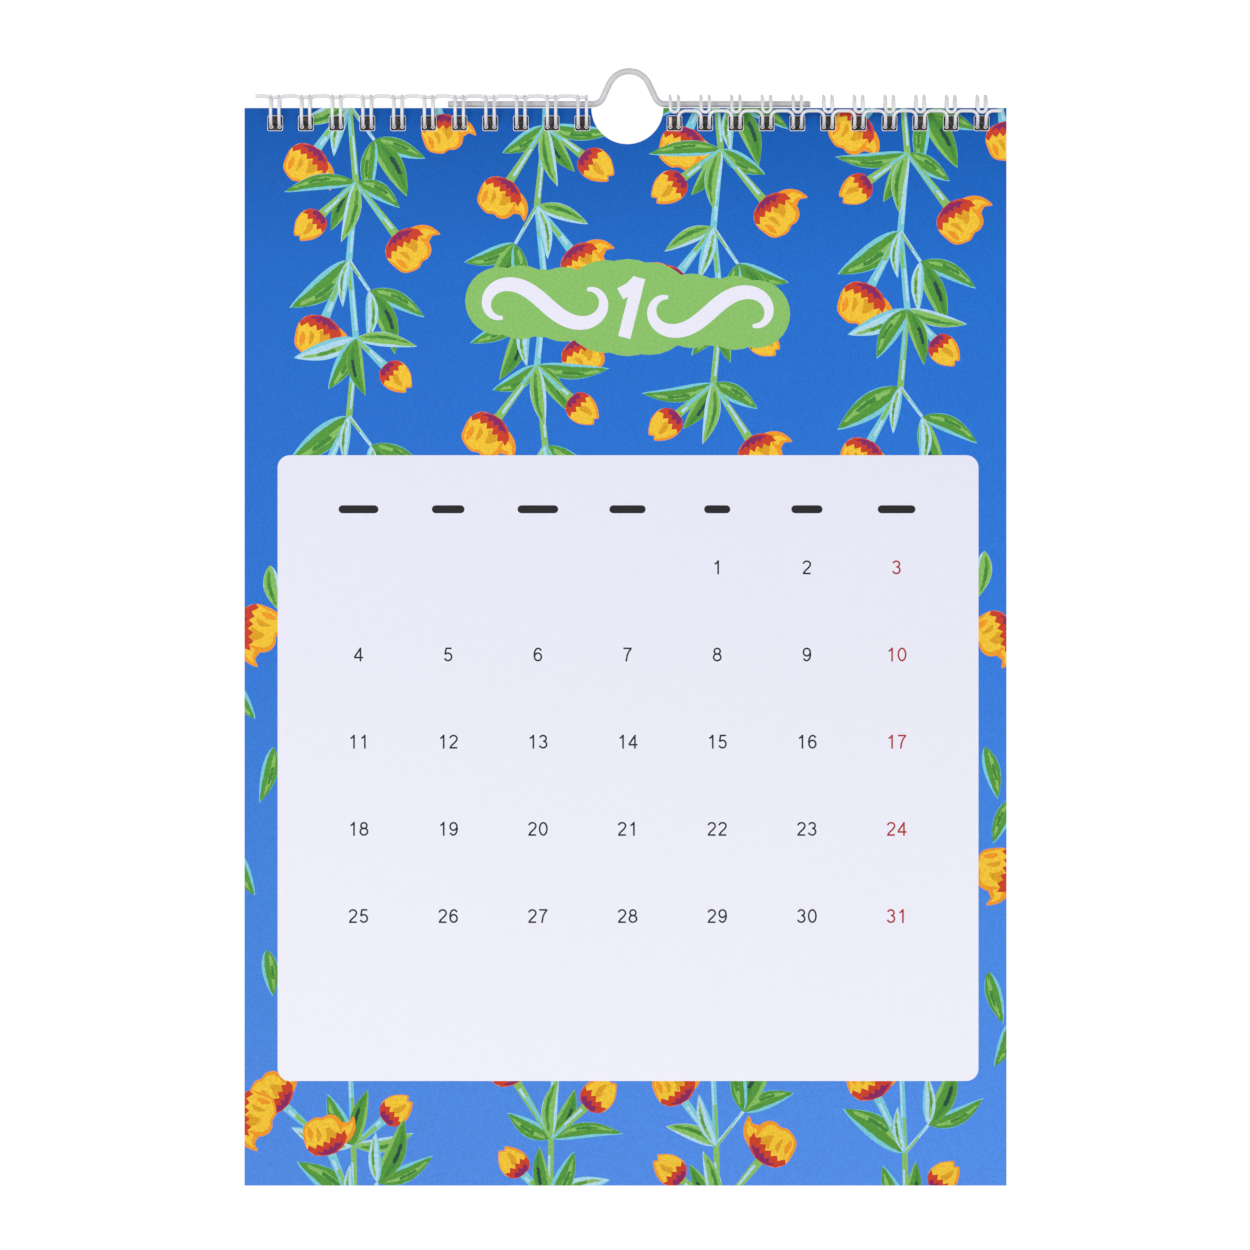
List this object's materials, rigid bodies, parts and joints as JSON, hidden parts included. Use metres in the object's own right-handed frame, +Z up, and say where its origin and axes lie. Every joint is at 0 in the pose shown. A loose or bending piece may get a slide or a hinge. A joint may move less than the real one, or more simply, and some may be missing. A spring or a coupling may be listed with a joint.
{
  "type": "wall calendar",
  "caption": "A4 portrait wall calendar on a double-loop wire binding, with a wire hanger, thumb cut, punched leaves and a back board.",
  "frame": {"origin": "inside top of the hanger's hook, where it sits on its nail", "axes": "+Z up, the printed side faces -Y, +X to the viewer's right"},
  "size_m": [0.21, 0.0098, 0.3081],
  "materials": {
    "hanger_wire": "light grey painted steel wire, semi-gloss",
    "binding_wire": "white nylon-coated steel wire, glossy",
    "front_leaf": "smooth coated paper with a satin print",
    "pages": "smooth coated paper, satin",
    "board": "plain white-faced board, matt"
  },
  "bodies": {
    "hanger": {"hanger": "hanger_wire"},
    "pad": {"page_block": "pages"},
    "left_wire": {"left_wire": "binding_wire"},
    "right_wire": {"right_wire": "binding_wire"},
    "front_leaf": {"front_leaf": "front_leaf"},
    "back_board": {"back_board": "board"}
  },
  "joints": [
    {"name": "hang_swing", "type": "hinge", "parent": "hanger", "child": "pad", "pos_m": [0, 0, -0.00825], "axis": [1, 0, 0], "continuous": true},
    {"name": "page_turn", "type": "hinge", "parent": "pad", "child": "front_leaf", "pos_m": [0, -0.0014, -0.0094], "axis": [-1, 0, 0], "range_deg": [0, 180]},
    {"name": "board_turn", "type": "hinge", "parent": "pad", "child": "back_board", "pos_m": [0, 0.0014, -0.0094], "axis": [1, 0, 0], "range_deg": [0, 180]},
    {"name": "left_wire_turn", "type": "hinge", "parent": "pad", "child": "left_wire", "pos_m": [0, 0, -0.0102], "axis": [-1, 0, 0], "range_deg": [0, 30]},
    {"name": "right_wire_turn", "type": "hinge", "parent": "pad", "child": "right_wire", "pos_m": [0, 0, -0.0102], "axis": [-1, 0, 0], "range_deg": [0, 90]}
  ],
  "couplings": [
    {"joint": "left_wire_turn", "follows": "page_turn", "ratio": 0.16667},
    {"joint": "right_wire_turn", "follows": "page_turn", "ratio": 0.5}
  ]
}
